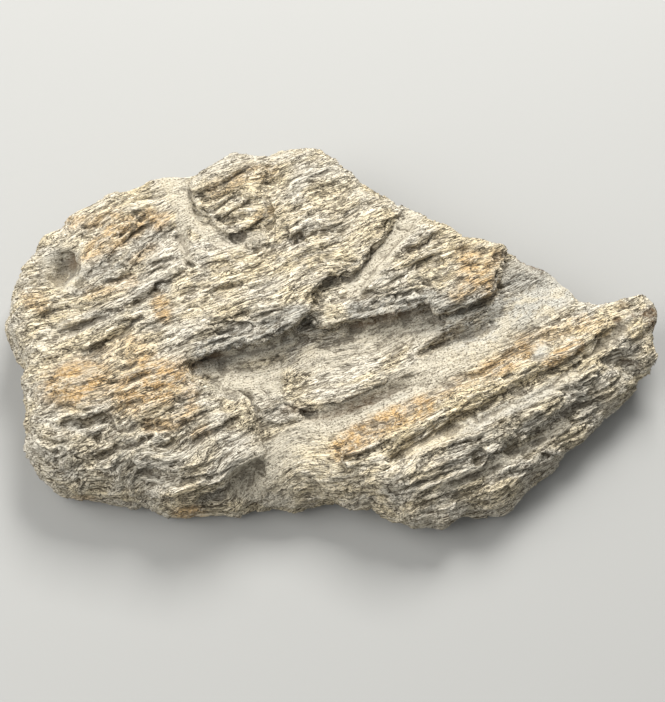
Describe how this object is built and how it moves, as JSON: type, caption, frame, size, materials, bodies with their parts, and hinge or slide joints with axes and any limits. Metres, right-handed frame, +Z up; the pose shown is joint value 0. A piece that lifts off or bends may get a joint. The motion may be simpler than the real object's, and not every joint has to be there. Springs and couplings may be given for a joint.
{
  "type": "triceratops frill fragment",
  "caption": "Broken plate of fossil frill bone lying on its flatter side, with raised bone sheets, vessel channels, grooves along the grain and pits.",
  "frame": {"origin": "centre of the bounding box's bottom face, on the surface that the fragment lies on", "axes": "+X along the fragment's length, towards its narrow end; +Y across it, away from the viewer of the picture; +Z up through its thickness"},
  "size_m": [0.2196, 0.1338, 0.0332],
  "materials": {
    "fossil_bone": "dry fibrous fossil bone, cream grey with ochre stains"
  },
  "bodies": {
    "root": {"frill_fragment": "fossil_bone"}
  },
  "joints": []
}
